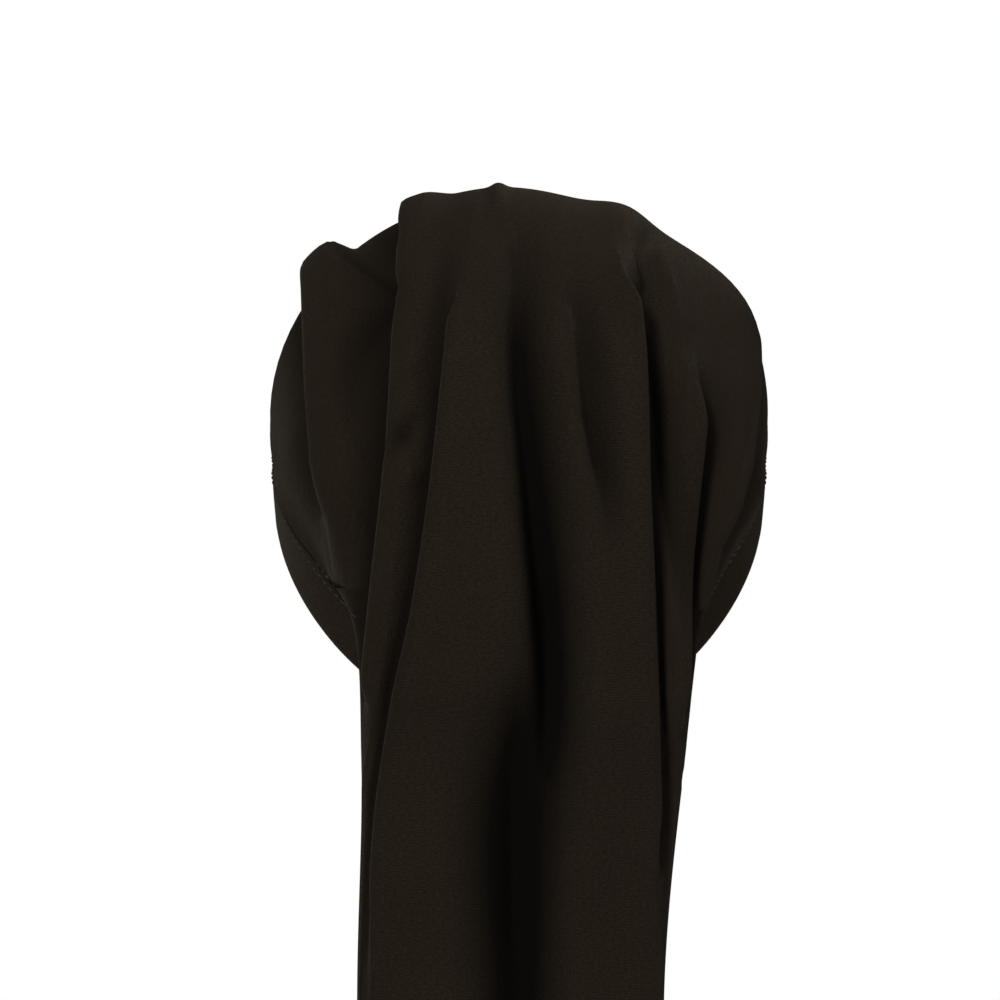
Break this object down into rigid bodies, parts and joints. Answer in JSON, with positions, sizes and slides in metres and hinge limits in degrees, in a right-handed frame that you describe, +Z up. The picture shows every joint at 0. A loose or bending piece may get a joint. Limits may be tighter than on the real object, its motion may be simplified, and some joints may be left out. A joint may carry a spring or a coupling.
{
  "type": "dreadlock cap",
  "caption": "Soft stretch-knit cap with a sewn band round the head opening, a pleated crown and a long closed tail that takes long locks",
  "frame": {"origin": "middle of the head opening, level with the ears", "axes": "+Z up, the wearer looks along -Y, +X is the wearer's left"},
  "size_m": [0.1813, 0.2066, 0.484],
  "materials": {
    "band_knit": "matte black doubled stretch knit",
    "black_knit": "matte black fine stretch knit"
  },
  "bodies": {
    "root": {"headband": "band_knit", "hood_and_tail": "black_knit"}
  },
  "joints": []
}
